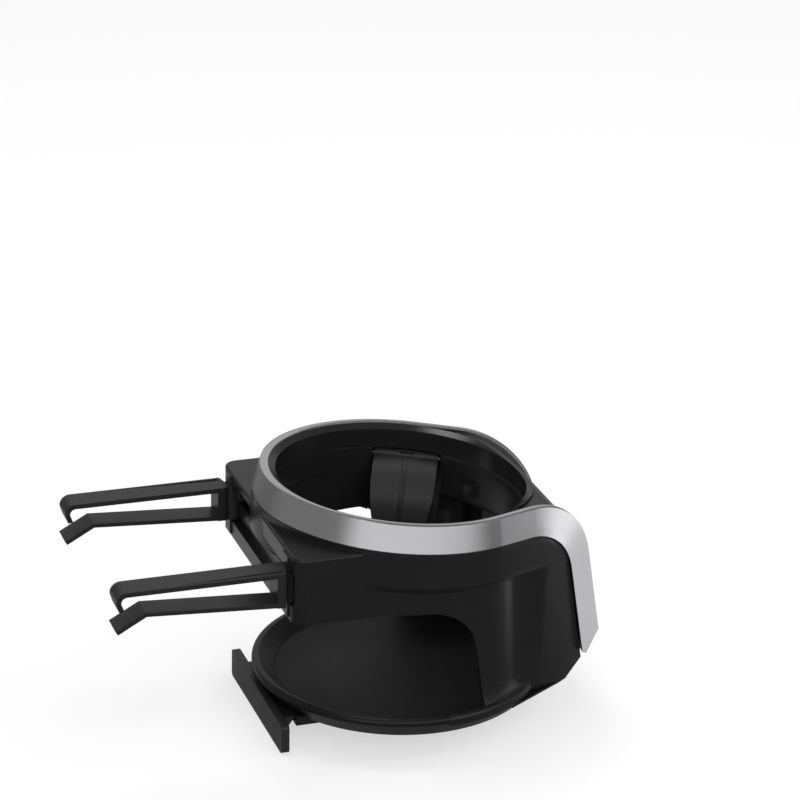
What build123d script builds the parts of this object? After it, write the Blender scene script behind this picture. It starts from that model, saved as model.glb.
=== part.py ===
"""Car vent cup holder: a ring on a hollow rear block, hung from an air vent by two swivelling clips.

Frame: millimetres, +Z up. The user sits on the -Y side, the vent is on the +Y side, and the holder is alike
on both sides of x = 0. Pieces are drawn about the cup's axis, with z = 0 at the underside of the tray. The
finished pieces are then moved so that the origin is where the holder hangs: midway between the clips,
half-way up their gaps, where the vent's slat meets the clips' roots.
The ring, its silver ribbon and everything hung in it are drawn in the ring's own frame, which dips to the
front, with h measured along the ring's axis from its upper plane.
"""
import os
from math import atan2, cos, degrees, radians, sin, sqrt, tan

from build123d import *

# Ring and opening
RING_Z = 69.0            # height of the ring's centre over the tray's underside
RING_TILT = 4.3          # dip of the ring's plane to the front, degrees
OPENING_R = 38.7         # clear radius of the cup opening

# Silver ribbon: a flat crowned bead with a flared band below it
BEAD_R = OPENING_R + 2.3    # inner edge of the bead
BEAD_W = 2.6             # width of the bead
BEAD_CROWN = 0.3         # rise of the bead's middle over its edges
BAND_DROP = 8.4          # depth of the band below the bead
BAND_FLARE = 2.0         # how far the band spreads outwards over that depth
BAND_R = BEAD_R + BEAD_W + BAND_FLARE
TRIM_T = 1.6             # wall of the ribbon
LEAVE_ANGLE = 24.0       # where the ribbon leaves the ring, degrees ahead of the side
LEAVE = radians(LEAVE_ANGLE)
RIBBON_RUN = 35.4        # from there to the corner that the roll rounds off
ROLL_R = 28.0            # roll of the ribbon over the front
LEG_RAKE = 17.6          # lean of the legs from the ring's axis, degrees
TURN = 90.0 - LEG_RAKE
LEG_LENGTH = 34.0        # straight part of a leg
FOOT_CUT_Y = -BEAD_R * sin(LEAVE) - 42.2    # front lower edge, where the sloping cut below the panel starts
FOOT_CUT_Z = 14.6
FOOT_CUT_SLOPE = 43.0    # slope of that cut down to the rear, degrees
FOOT_BAR_H = 14.0        # height over that edge within which the bead crosses below the panel
BOTTOM_BEAD_W = 2.6      # bead across the foot of the panel
PANEL_CORNER_R = 4.0

# Front skin: apron over the top, panel down the front, both one layer behind the bead
SKIN_T = 1.6
SEAM_H = 17.2            # seam between apron and panel, below the ring's centre
SEAM_GAP = 0.3
UNDERLAP = 0.9           # how far the skin reaches under the bead
FRONT_REAR_Y = -30.0     # the lower front lies ahead of this
PANEL_LIFT = 0.6         # lower edge of the panel over the sloping cut

# Housing
WALL = 2.2
UPPER_R = BAND_R - 0.2   # shoulder below the silver band
UPPER_H = 19.8           # lower edge of the shoulder, below the ring's plane
LEDGE = 2.3              # slope from that edge in to the skirt
RING_LOW_H = 16.0        # lower edge of the ring wall within the block
RING_OUT_R = BEAD_R + 2.5    # outside of that wall
FLANGE_R = BAND_R + 0.2  # foot of the skirt and rim of the tray
SKIRT_R = FLANGE_R - 3.0     # outside of the skirt
SKIRT_T = 1.9
SKIRT_IN_R = SKIRT_R - SKIRT_T
LINER_R = OPENING_R + 0.2    # inside of the wall beside the grip arms
LINER_LOW_Z = 33.0       # lower edge of that wall in front of the arms
LINER_FRONT_Y = -26.0
WINDOW_ANGLE = -55.5     # window from the cup's room into the pillar
WINDOW_W = 7.2
WINDOW_Z = (30.0, 52.4)
SKIRT_REAR_Y = -14.2     # rear edge of the skirt at the tray's rim
SKIRT_LEAN = 9.6         # lean of that edge to the rear, degrees
SKIRT_FILLET = 16.0      # curve from that edge up to the block
FLARE_TOP_Z = 13.5       # the skirt spreads below this, to meet the rim
FLARE_OUT = 1.2
FLANGE_REAR_Y = -1.6     # seam in the rim between housing and tray
BASE_Z = 3.4             # lower face of the housing, on the tray
BASE_GAP = 0.1           # gap there

# Pillar: plan at its top and at its foot, each as the angle on the skirt, the angle of the valley, the start
# of its side along the ribbon and its distance outside the bead's plane
PILLAR_JOIN_Z = 46.0     # where its sides meet the shoulder's
PILLAR_HIGH_Z = RING_Z - 6.0
PILLAR_TOP = (-33.0, -39.6, 18.65, 3.6)
PILLAR_LOW = (-37.7, -43.2, 19.5, 1.5)
PILLAR_VALLEY = 1.4      # distance of the valley's middle from the skirt
PILLAR_RUN = 60.0        # its sides run on past the front cut
PILLAR_REAR_Y = -10.0
PILLAR_EDGE_R = 6.0

# Rear block
BLOCK_W = 78.8
BLOCK_REAR_Y = BAND_R + 0.4
BLOCK_TOP_Z = 61.2
BLOCK_LOW_Z = 40.1
BLOCK_CORNER_R = 4.0
BLOCK_EDGE_R = 0.8
BLOCK_SIDE_T = 1.2
TOP_PLATE_T = 2.5
UPPER_LIP_Z = 55.5       # lower edge of the upper lip
LOWER_LIP_Z = 45.4       # upper edge of the lower lip
SLOT_BACK_Z = 51.5       # upper edge of the wall set back in the slot
NOTCH_X = (5.0, 19.5)    # notch in the upper lip
CHEEK_R = 8.0            # hollow curve from the block's side into the shoulder
CHEEK_LOW_R = 25.0       # and into the skirt below it
CHEEK_T = 9.0

# Collar
COLLAR_H = 8.0
COLLAR_T = 1.5
COLLAR_SEAT_H = 6.0      # lower face of the collar's flange
LIP_DROP = 1.3
LIP_H = BEAD_CROWN + 0.1     # outer edge of the lip, below the ring's plane
FIT = 0.15               # gap round parts that drop into a seat

# Grip arms
ARM_ANGLES = {"rear": 90.0, "right": -22.5, "left": -157.5}
ARM_OUTLINE = [(10.1, -8.0), (10.3, -15.0), (9.9, -20.5), (9.1, -25.5), (7.2, -35.2)]   # half width at h
ARM_TIP_R = 3.0
ARM_HALF_W = 10.3
ARM_T = 2.0
ARM_HINGE = (OPENING_R + 1.5, -10.8)    # radius and h of the hinge
ARM_BARREL_R = 2.1
ARM_TOP = (OPENING_R - 0.55, -10.3)     # inner face: top, innermost point and tip
ARM_BULGE = (OPENING_R - 13.7, -26.5)
ARM_TIP = (OPENING_R - 11.6, -34.5)
ARM_GROOVE_W = 1.5
ARM_GROOVE_T = 1.0
ARM_SIDE_GAP = 0.5
POCKET_R = SKIRT_R - 1.2
POCKET_IN_R = 20.0
POCKET_LOW_H = -41.0
BARREL_ROOM = 0.4
PIN_SEAT = 2.2           # depth of a hinge pin in the pocket's sides
PIN_END_GAP = 0.1
GRIP_PIN_R = 0.8
RUNNING = 0.05           # radial gap of a moving bore on its pin
SEATED = 0.02            # radial gap of a pin in its seat

# Grip springs
SPRING_GAP_HALF = 2.4    # gap in the arm's barrel for the coil, open to its back
SPRING_WIRE_R = 0.25
SPRING_TURNS = 5
SPRING_COIL_R = 1.25
SPRING_LEG = 1.5
COIL_GAP = 0.06          # half the gap between turns
COIL_ROOM = 0.12         # gap between coil and barrel

# Tray
TRAY_FLOOR_Z = 2.4
TRAY_FLOOR_R = FLANGE_R - 7.4
TRAY_RIM_Z = 6.4
TRAY_RIM_W = 2.2
TRAY_RIM_ROUND = 1.2
TRAY_SIDE_Z = 4.4        # the outside slopes in below this
TRAY_FOOT_R = FLANGE_R - 3.1
TRAY_SHOULDER = (7.7, 4.1)    # sides of the front plate: along the ribbon and outside the bead's plane
TRAY_FRONT = (34.8, 0.8)
TRAY_CORNER_R = 5.0
TRAY_FRONT_Z = 1.1       # lower face ahead of the round tray
TRAY_FRONT_EDGE = 1.8

# Sliding foot
FOOT_W = 55.6
FOOT_T = 2.5
FOOT_FRONT_Y = FLANGE_R - 2.15
FOOT_TOP_Z = 1.1
FOOT_LOW_Z = -8.2
FOOT_CORNER_R = 1.2
FOOT_RIB = 3.2           # length of the ribs along the slide
FOOT_RIB_HALF = 0.8
SLIDE_W = 39.6
SLIDE_T = 1.3
SLIDE_GAP = 0.25
SLIDE_FRONT_Y = -20.0
FOOT_TRAVEL = 22.0
RAIL_W = 1.5
RAIL_LIP = 2.4
RAIL_LIP_T = 0.8
RAIL_Y = (-23.0, FLANGE_R - 6.2)
PEG_R = 2.0
PEG_Y = 8.0
PEG_GAP = 0.3
PEG_END_GAP = 0.4

# Vent clips
CLIP_X = (BLOCK_W / 2 - 10.9, BLOCK_W / 2 - 2.4)
CLIP_TOP_Z = 56.7
CLIP_LOW_Z = 45.6
CLIP_ROOT_Y = (BLOCK_REAR_Y + 1.8, BLOCK_REAR_Y + 4.4)
CLIP_END_Y = BLOCK_REAR_Y + 53.0
CLIP_STRAP_T = 1.5
CLIP_HOOK_R = 3.3
CLIP_HOOK_DROP = 6.1
CLIP_HOOK_LEAN = 0.9
CLIP_KINK = (BLOCK_REAR_Y + 44.3, 49.6)
CLIP_TIP = (BLOCK_REAR_Y + 53.3, 44.6)
CLIP_HOOK_NOSE = 0.3     # bevel of the hook's tip
CLIP_TIP_DROP = (0.7, 1.1)     # lower edge of the ramp's tip, back and down from its upper edge
CLIP_BEND = (0.3, 1.3)   # lower side of the kink, likewise
CLIP_WEB = (2.0, 2.35)   # where the root's web leaves the barrel on each side
CLIP_GROOVE = (0.9, 2.4, 32.0, 0.4)    # groove in the upper arm: its edges from the outside, length and depth
PIVOT = (BLOCK_W / 2 - 8.2, BLOCK_REAR_Y - 1.4)
BARREL_R = 3.2
BARREL_GAP = 0.4
KNUCKLE_GAP = 0.2
KNUCKLE_TOP_Z = 60.4
KNUCKLE_LOW_Z = 41.0
KNUCKLE_PROUD = 0.6      # how far the block's knuckles stand out of its rear
CLIP_PIN_R = 1.2
CLIP_PIN_CAP = 0.6       # wall left over the pin's ends

# Screws, placed along the ribbon and inside the bead's plane
SCREW_R = 1.1
SCREW_HEAD_R = 2.2
SCREW_HEAD_H = 1.4
SCREW_LENGTH = 8.0
SCREW_Z = TRAY_FRONT_Z + 0.2    # underside of the heads
SCREW_SPOTS = {"front": (33.4, -9.15), "rear": (24.8, -5.3)}
SCREW_CROSS = (1.4, 0.3, 0.8)   # half length, half width and depth of the driver's cross
BOSS_R = 3.0
BOSS_H = 12.0

FAR = 120.0
OVER = 1.0               # how far cutting shapes reach past what they cut
HANG_POINT = (0, CLIP_ROOT_Y[1], (CLIP_LOW_Z + CLIP_TOP_Z) / 2)
RING = Location((0, 0, RING_Z), (RING_TILT, 0, 0))


# Helpers

def joined(*lines):
    """One wire from lines, arcs and polylines that meet end to end."""
    return Wire([edge for line in lines for edge in line.edges()])


def ribbon_point(s, h, across=0.0):
    """A point on the right-hand ribbon's upright plane: s along its straight, h up, across to its outside."""
    x = BEAD_R * cos(LEAVE) - s * sin(LEAVE) + across * cos(LEAVE)
    y = -BEAD_R * sin(LEAVE) - s * cos(LEAVE) - across * sin(LEAVE)
    return Vector(x, y, h)


def beside_ribbon(along, across):
    """A point in plan by its place along the right-hand ribbon and its distance outside the bead's plane."""
    point = ribbon_point(along, 0, across)
    return (point.X, point.Y)


def polar(radius, angle):
    return (radius * cos(radians(angle)), radius * sin(radians(angle)))


def screw_places():
    places = {}
    for name, spot in SCREW_SPOTS.items():
        x, y = beside_ribbon(*spot)
        places[name + "_left"] = (-x, y)
        places[name + "_right"] = (x, y)
    return places


def roll_start():
    return RIBBON_RUN - ROLL_R * tan(radians(TURN / 2))


def behind_skin(inset):
    """Everything behind the front skin, set back by inset: flat top, roll and raked front, full width."""
    squash = cos(LEAVE)
    start = BEAD_R * sin(LEAVE) + roll_start() * squash
    radius = ROLL_R - inset
    end = (start + radius * squash * sin(radians(TURN)), -ROLL_R + radius * cos(radians(TURN)))
    run = FAR
    low = (end[0] + run * tan(radians(LEG_RAKE)) * squash, end[1] - run)
    side = Plane(origin=(0, 0, 0), x_dir=(0, -1, 0), z_dir=(-1, 0, 0))
    outline = [
        Line((-FAR, -inset), (start, -inset)),
        EllipticalCenterArc((start, -ROLL_R), radius * squash, radius, 90, arc_size=-TURN),
        Line(end, low),
        Line(low, (-FAR, low[1])),
        Line((-FAR, low[1]), (-FAR, -inset)),
    ]
    return extrude(make_face(side * joined(*outline)), FAR, both=True)


def wedge(across, rear_y, h_top=10.0, h_low=-FAR):
    """Upright prism between the two ribbons' planes, each moved outwards by across, ahead of rear_y."""
    near = (-rear_y - BEAD_R * sin(LEAVE) - across * sin(LEAVE)) / cos(LEAVE)
    a = ribbon_point(near, 0, across)
    b = ribbon_point(near + PILLAR_RUN, 0, across)
    plan = Polyline((a.X, a.Y), (b.X, b.Y), (-b.X, b.Y), (-a.X, a.Y), close=True)
    return Pos(0, 0, h_low) * extrude(make_face(plan), h_top - h_low)


def ring_plan(outer_r, across, h_low, h_top):
    """A disc with the ribbons' wedge in front of it."""
    disc = Pos(0, 0, h_low) * extrude(Circle(outer_r), h_top - h_low)
    return disc + wedge(across, -BEAD_R * sin(LEAVE) - across * sin(LEAVE) - 0.01, h_top, h_low)


def cyl(radius, z_low, z_top, x=0.0, y=0.0):
    return Pos(x, y, z_low) * extrude(Circle(radius), z_top - z_low)


def box(x, y, z):
    """A box between pairs of limits."""
    size = [b - a for a, b in (x, y, z)]
    return Pos((x[0] + x[1]) / 2, (y[0] + y[1]) / 2, (z[0] + z[1]) / 2) * Box(*size)


def turned(points):
    """A solid of revolution about Z from (radius, height) points."""
    outline = Plane.XZ * make_face(Polyline(*points, close=True))
    return revolve(outline, Axis.Z, 360)


def below_front_cut():
    """Space below the slope that cuts the foot of the panel back to the rear."""
    edge = Pos(0, FOOT_CUT_Y, FOOT_CUT_Z) * Rot(-FOOT_CUT_SLOPE, 0, 0)
    return edge * Pos(0, 0, -FAR / 2) * Box(FAR, FAR, FAR)


def arm_place(angle):
    """Frame of a grip arm: local x outwards, local y along its hinge, local z up the ring's axis."""
    return RING * Rot(0, 0, angle)


# Silver ribbon

def ribbon_path():
    """Inner edge of the bead on the right-hand side, from the rear of the ring to the foot of the leg."""
    start = roll_start()
    half = radians(TURN / 2)
    full = radians(TURN)
    turn_in = ribbon_point(start, 0)
    middle = ribbon_point(start + ROLL_R * sin(half), -ROLL_R + ROLL_R * cos(half))
    turn_out = ribbon_point(start + ROLL_R * sin(full), -ROLL_R + ROLL_R * cos(full))
    rake = radians(LEG_RAKE)
    foot = turn_out + (ribbon_point(sin(rake), -cos(rake)) - ribbon_point(0, 0)) * LEG_LENGTH
    return joined(
        CenterArc((0, 0, 0), BEAD_R, 90, -90 - LEAVE_ANGLE),
        Line(ribbon_point(0, 0), turn_in),
        ThreePointArc(turn_in, middle, turn_out),
        Line(turn_out, foot),
    )


def ribbon_section():
    """Crowned bead with the flared band below, at the rear of the ring."""
    place = Plane(origin=(0, BEAD_R, 0), x_dir=(0, 1, 0), z_dir=(1, 0, 0))
    edge = -BEAD_CROWN
    outline = joined(
        ThreePointArc((0, edge), (BEAD_W / 2, 0), (BEAD_W, edge)),
        Polyline(
            (BEAD_W, edge),
            (BEAD_W + BAND_FLARE, -BAND_DROP),
            (BEAD_W + BAND_FLARE - TRIM_T, -BAND_DROP),
            (BEAD_W - TRIM_T, -TRIM_T),
            (0, -TRIM_T),
            (0, edge),
        ),
    )
    return place * make_face(outline)


def panel_opening():
    """Opening of the bead frame round the panel: straight sides, rounded lower corners, cut front to back."""
    low_z = FOOT_CUT_Z + BOTTOM_BEAD_W
    opening = RING * wedge(0, FRONT_REAR_Y) & box((-FAR, FAR), (-FAR, 0), (low_z, FAR))
    corners = opening.edges().filter_by(Axis.Y, tolerance=30).group_by(Axis.Z)[0]
    return fillet(corners, PANEL_CORNER_R)


def make_trim():
    half = sweep(ribbon_section(), path=ribbon_path())
    ribbon = half + mirror(half, about=Plane.YZ)
    front = RING * ((behind_skin(BEAD_CROWN / 2) - behind_skin(TRIM_T)) & wedge(UNDERLAP, FRONT_REAR_Y))
    foot_bar = (front & box((-FAR, FAR), (-FAR, 0), (0, FOOT_CUT_Z + FOOT_BAR_H))) - panel_opening()
    return (RING * ribbon + foot_bar) - below_front_cut()


# Front skin

def front_layer():
    return (behind_skin(TRIM_T) - behind_skin(TRIM_T + SKIN_T)) & wedge(UNDERLAP, -BEAD_R * sin(LEAVE) - 0.8)


def make_apron(trim):
    above = box((-FAR, FAR), (-FAR, FAR), (RING_Z - SEAM_H + SEAM_GAP / 2, FAR))
    hole = RING * cyl(BEAD_R, -FAR, FAR)
    return (RING * front_layer() & above) - hole - trim


def make_panel(trim):
    below = box((-FAR, FAR), (-FAR, FAR), (FOOT_CUT_Z + PANEL_LIFT, RING_Z - SEAM_H - SEAM_GAP / 2))
    return (RING * front_layer() & below) - below_front_cut() - trim


# Housing

def pillar_plan(inset, shape, z):
    """Plan of the pillar at one height: out of the skirt by a soft valley, then on beside the ribbon."""
    skirt_angle, valley_angle, along, across = shape
    a = polar(SKIRT_R, skirt_angle)
    b = polar(SKIRT_R + PILLAR_VALLEY, valley_angle)
    c = beside_ribbon(along, across)
    d = beside_ribbon(along + PILLAR_RUN, across)

    def right(point):
        return (point[0] - inset, point[1])

    def left(point):
        return (inset - point[0], point[1])

    face = make_face(joined(
        Line((a[0] - inset, PILLAR_REAR_Y), right(a)),
        ThreePointArc(right(a), right(b), right(c)),
        Line(right(c), right(d)),
        Line(right(d), left(d)),
        Line(left(d), left(c)),
        ThreePointArc(left(c), left(b), left(a)),
        Line(left(a), (inset - a[0], PILLAR_REAR_Y)),
        Line((inset - a[0], PILLAR_REAR_Y), (a[0] - inset, PILLAR_REAR_Y)),
    ))
    edges = [v for v in face.vertices() if abs(v.Y - c[1]) < OVER / 10]
    return Pos(0, 0, z) * fillet(edges, PILLAR_EDGE_R)


def pillar(inset):
    """The lower front: a hollow post that tapers down from the shoulder."""
    top = pillar_plan(inset, PILLAR_TOP, PILLAR_JOIN_Z)
    low = pillar_plan(inset, PILLAR_LOW, BASE_Z)
    return loft([low, top], ruled=True) + extrude(top, PILLAR_HIGH_Z - PILLAR_JOIN_Z)


def liner_cut():
    """Space below the liner: level with the block beside the arms, lower in front of them."""
    low = box((-FAR, FAR), (-FAR, FAR), (-10, LINER_LOW_Z))
    return low + box((-FAR, FAR), (LINER_FRONT_Y, FAR), (-10, BLOCK_LOW_Z))


def skirt_opening():
    """Space behind the skirt's leaning rear edge, with a large curve up to the block."""
    lean = tan(radians(SKIRT_LEAN))
    low_z = BASE_Z - OVER
    low = (SKIRT_REAR_Y + (low_z - TRAY_RIM_Z) * lean, low_z)
    high = (SKIRT_REAR_Y + (BLOCK_LOW_Z - TRAY_RIM_Z) * lean, BLOCK_LOW_Z)
    side = make_face(Polyline(low, high, (FAR, BLOCK_LOW_Z), (FAR, low_z), close=True))
    corner = side.vertices().group_by(Axis.Y)[-1].sort_by(Axis.X)[0]
    return extrude(Plane.YZ * fillet(corner, SKIRT_FILLET), FAR, both=True)


def skirt():
    """Round wall below the shoulder, open to the rear, that spreads softly at its foot."""
    top = RING_Z - UPPER_H + 2 * OVER
    shell = cyl(SKIRT_R, BASE_Z, top) - cyl(SKIRT_IN_R, BASE_Z - OVER, top + OVER)
    liner = cyl(SKIRT_R, LINER_LOW_Z, top) - cyl(LINER_R, LINER_LOW_Z - OVER, top + OVER) - liner_cut()
    foot = (SKIRT_R + FLARE_OUT, TRAY_RIM_Z)
    middle = (SKIRT_R + FLARE_OUT / 4, (TRAY_RIM_Z + FLARE_TOP_Z) / 2 - OVER)
    flare = make_face(joined(
        Polyline(
            (SKIRT_R, FLARE_TOP_Z), (SKIRT_IN_R, FLARE_TOP_Z), (SKIRT_IN_R, BASE_Z), (foot[0], BASE_Z), foot),
        ThreePointArc(foot, middle, (SKIRT_R, FLARE_TOP_Z)),
    ))
    return shell + liner + revolve(Plane.XZ * flare, Axis.Z, 360) - skirt_opening()


def rim_curve():
    """Outside and top of the rim, which the tray and the skirt's foot share."""
    r = TRAY_RIM_ROUND
    turn = r * (1 - 0.5 ** 0.5)
    return joined(
        Line((FLANGE_R, TRAY_SIDE_Z), (FLANGE_R, TRAY_RIM_Z - r)),
        ThreePointArc(
            (FLANGE_R, TRAY_RIM_Z - r), (FLANGE_R - turn, TRAY_RIM_Z - turn), (FLANGE_R - r, TRAY_RIM_Z)),
        Line((FLANGE_R - r, TRAY_RIM_Z), (FLANGE_R - TRAY_RIM_W, TRAY_RIM_Z)),
    )


def rim_inside(radius):
    """Height of the slope from the rim down to the tray's floor at a radius."""
    top_r = FLANGE_R - TRAY_RIM_W
    return TRAY_FLOOR_Z + (TRAY_RIM_Z - TRAY_FLOOR_Z) * (radius - TRAY_FLOOR_R) / (top_r - TRAY_FLOOR_R)


def skirt_flange():
    """The housing's share of the rim, ahead of the seam."""
    inside = (SKIRT_IN_R, rim_inside(SKIRT_IN_R))
    section = make_face(joined(
        rim_curve(),
        Polyline((FLANGE_R - TRAY_RIM_W, TRAY_RIM_Z), inside, (SKIRT_IN_R, BASE_Z), (FLANGE_R, BASE_Z),
                 (FLANGE_R, TRAY_SIDE_Z)),
    ))
    ahead = box((-FAR, FAR), (-FAR, FLANGE_REAR_Y), (0, FAR))
    return revolve(Plane.XZ * section, Axis.Z, 360) & ahead


def cheek_plan(radius, curve):
    """Hollow corner between the block's right-hand side and a round wall."""
    half = BLOCK_W / 2
    reach = half + curve
    blend_y = sqrt((radius + curve) ** 2 - reach ** 2)
    meet_angle = degrees(atan2(blend_y, reach))
    hollow = polar(curve, 180 + meet_angle / 2)
    meet = polar(radius, meet_angle)
    return make_face(joined(
        ThreePointArc((half, blend_y), (reach + hollow[0], blend_y + hollow[1]), meet),
        Polyline(meet, (half - CHEEK_T, meet[1]), (half - CHEEK_T, blend_y), (half, blend_y)),
    ))


def cheeks():
    """Sides that flow from the block into the shoulder, and into the skirt below it."""
    low_h = UPPER_H - BAND_DROP - FIT
    upper = RING * (Pos(0, 0, -UPPER_H) * extrude(cheek_plan(UPPER_R, CHEEK_R), low_h))
    upper = upper & box((0, FAR), (-FAR, FAR), (0, BLOCK_TOP_Z))
    lower = Pos(0, 0, BLOCK_LOW_Z) * extrude(cheek_plan(SKIRT_R, CHEEK_LOW_R), RING_Z - UPPER_H - BLOCK_LOW_Z)
    side = upper + lower
    return side + mirror(side, about=Plane.YZ)


def block():
    """Rear block: top plate, two side walls and two rear lips round the slot, open below."""
    half = BLOCK_W / 2
    outer = box((-half, half), (0, BLOCK_REAR_Y), (BLOCK_LOW_Z, BLOCK_TOP_Z))
    rear_corners = outer.edges().filter_by(Axis.Z).group_by(Axis.Y)[-1]
    outer = fillet(rear_corners, BLOCK_CORNER_R)
    outer = fillet(outer.faces().sort_by(Axis.Z)[-1].edges().group_by(Axis.Y)[-1], BLOCK_EDGE_R)
    inner_y = BLOCK_REAR_Y - WALL
    slot = box((-half + WALL, half - WALL), (inner_y - OVER, FAR), (LOWER_LIP_Z, UPPER_LIP_Z))
    notch = box(NOTCH_X, (inner_y - OVER, FAR), (UPPER_LIP_Z - OVER, BLOCK_TOP_Z - TOP_PLATE_T))
    return outer - slot - notch


def block_room():
    """Hollow of the block, round the ring wall that hangs into it."""
    side = BLOCK_W / 2 - BLOCK_SIDE_T
    room = box((-side, side), (0, BLOCK_REAR_Y - WALL), (BLOCK_LOW_Z - OVER, BLOCK_TOP_Z - TOP_PLATE_T))
    return room - RING * cyl(RING_OUT_R, -RING_LOW_H, FAR)


def slot_back():
    """Wall set back in the slot, across the whole block."""
    side = BLOCK_W / 2 - BLOCK_SIDE_T / 2
    rear = BLOCK_REAR_Y - WALL
    return box((-side, side), (rear - WALL, rear), (BLOCK_LOW_Z, SLOT_BACK_Z))


def knuckles(side):
    x = side * PIVOT[0]
    upper = cyl(BARREL_R, CLIP_TOP_Z + KNUCKLE_GAP, KNUCKLE_TOP_Z, x, PIVOT[1])
    lower = cyl(BARREL_R, KNUCKLE_LOW_Z, CLIP_LOW_Z - KNUCKLE_GAP, x, PIVOT[1])
    return (upper + lower) & box((-FAR, FAR), (-FAR, BLOCK_REAR_Y + KNUCKLE_PROUD), (0, FAR))


def barrel_room(side):
    x = side * PIVOT[0]
    return cyl(BARREL_R + BARREL_GAP, CLIP_LOW_Z - KNUCKLE_GAP, CLIP_TOP_Z + KNUCKLE_GAP, x, PIVOT[1])


def arm_pocket(angle):
    """Opening in the wall behind an arm, with room for its barrel and seats for its hinge pin."""
    half = ARM_HALF_W + ARM_SIDE_GAP
    hinge = Pos(ARM_HINGE[0], 0, ARM_HINGE[1]) * Rot(90, 0, 0)
    room = box((POCKET_IN_R, POCKET_R), (-half, half), (POCKET_LOW_H, -COLLAR_H))
    barrel = hinge * Cylinder(ARM_BARREL_R + BARREL_ROOM, 2 * half)
    pin = hinge * Cylinder(GRIP_PIN_R + SEATED, 2 * (half + PIN_SEAT))
    return arm_place(angle) * (room + barrel + pin)


def pillar_window(angle):
    return Rot(0, 0, angle) * box((LINER_R - OVER, SKIRT_R + OVER), (-WINDOW_W / 2, WINDOW_W / 2), WINDOW_Z)


def lower_front():
    """The pillar with its hollow and its screw bosses."""
    ahead = box((-FAR, FAR), (-FAR, 0), (BASE_Z, RING_Z - UPPER_H))
    core = RING * (wedge(UNDERLAP, FRONT_REAR_Y) & behind_skin(TRIM_T + SKIN_T)) & ahead
    post = (pillar(0) & RING * behind_skin(BAND_DROP + FIT)) + core - below_front_cut()
    within = behind_skin(TRIM_T + SKIN_T + WALL) & wedge(UNDERLAP - WALL, FRONT_REAR_Y)
    room = box((-FAR, FAR), (-FAR, 0), (BASE_Z - OVER, RING_Z - UPPER_H + 2 * WALL))
    inside = (pillar(WALL) & RING * within & room) - Pos(0, 0, WALL) * below_front_cut()
    bosses = [cyl(BOSS_R, BASE_Z, BASE_Z + BOSS_H, x, y) for x, y in screw_places().values()]
    front = post - cyl(SKIRT_IN_R, -FAR, FAR) - (inside - cyl(SKIRT_R, -FAR, FAR))
    return front + bosses - below_front_cut()


def make_housing(others):
    shoulder = ring_plan(UPPER_R, UPPER_R - BEAD_R, -UPPER_H, 0) & behind_skin(BAND_DROP + FIT)
    ledge_h = -UPPER_H - LEDGE
    ledge = turned([(0, -UPPER_H), (0, ledge_h), (UPPER_R - LEDGE, ledge_h), (UPPER_R, -UPPER_H)])
    core = ring_plan(RING_OUT_R, UNDERLAP, -UPPER_H, 0) & behind_skin(TRIM_T + SKIN_T)
    ring_low = RING_Z - UPPER_H - LEDGE - WALL
    cup_room = (cyl(SKIRT_IN_R, -FAR, ring_low) & liner_cut()) + cyl(LINER_R, -FAR, ring_low)
    ring_hole = RING * cyl(OPENING_R, -FAR, FAR) & box((-FAR, FAR), (-FAR, FAR), (ring_low - OVER, FAR))
    body = RING * (shoulder + ledge + core) + lower_front() + skirt() + skirt_flange() + cheeks() + block()
    body = body - ring_hole - cup_room - block_room()
    body = body + slot_back() + knuckles(1) + knuckles(-1)
    for side in (1, -1):
        body = body - barrel_room(side)
        pin_low = KNUCKLE_LOW_Z + CLIP_PIN_CAP
        pin_top = KNUCKLE_TOP_Z - CLIP_PIN_CAP
        body = body - cyl(CLIP_PIN_R + SEATED, pin_low, pin_top, side * PIVOT[0], PIVOT[1])
    for angle in ARM_ANGLES.values():
        body = body - arm_pocket(angle)
    for angle in (WINDOW_ANGLE, -180 - WINDOW_ANGLE):
        body = body - pillar_window(angle)
    for x, y in screw_places().values():
        body = body - cyl(SCREW_R, BASE_Z - OVER, SCREW_Z + SCREW_LENGTH + OVER, x, y)
    for other in others:
        body = body - other
    return body


# Collar

def make_collar():
    """Liner of the opening: a sloping lip all round, trimmed to the roll of the front skin."""
    outer = BEAD_R - FIT
    wall_r = OPENING_R + COLLAR_T
    ring = turned([
        (outer, -LIP_H), (OPENING_R, -LIP_H - LIP_DROP), (OPENING_R, -COLLAR_H), (wall_r, -COLLAR_H),
        (wall_r, -COLLAR_SEAT_H), (outer, -COLLAR_SEAT_H)])
    return RING * (ring & behind_skin(LIP_H - SEATED))


# Grip arms

def arm_profile():
    """Side view of an arm: a barrel at the hinge and a bulging finger below it."""
    back_top = (ARM_HINGE[0] - 0.3, ARM_HINGE[1] - ARM_BARREL_R * 0.98)
    back_mid = (ARM_BULGE[0] + ARM_T, ARM_BULGE[1])
    back_tip = (ARM_TIP[0] + ARM_T * 0.87, ARM_TIP[1] + ARM_T * 0.5)
    finger = joined(
        ThreePointArc(ARM_TOP, ARM_BULGE, ARM_TIP),
        Line(ARM_TIP, back_tip),
        ThreePointArc(back_tip, back_mid, back_top),
        Line(back_top, ARM_TOP),
    )
    return Plane.XZ * (make_face(finger) + Pos(*ARM_HINGE) * Circle(ARM_BARREL_R))


def groove_profile():
    end = (ARM_TIP[0] + ARM_GROOVE_T, ARM_TIP[1])
    strip = joined(
        ThreePointArc(ARM_TOP, ARM_BULGE, ARM_TIP),
        Line(ARM_TIP, end),
        ThreePointArc(end, (ARM_BULGE[0] + ARM_GROOVE_T, ARM_BULGE[1]), ARM_TOP),
    )
    return Plane.XZ * make_face(strip)


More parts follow.
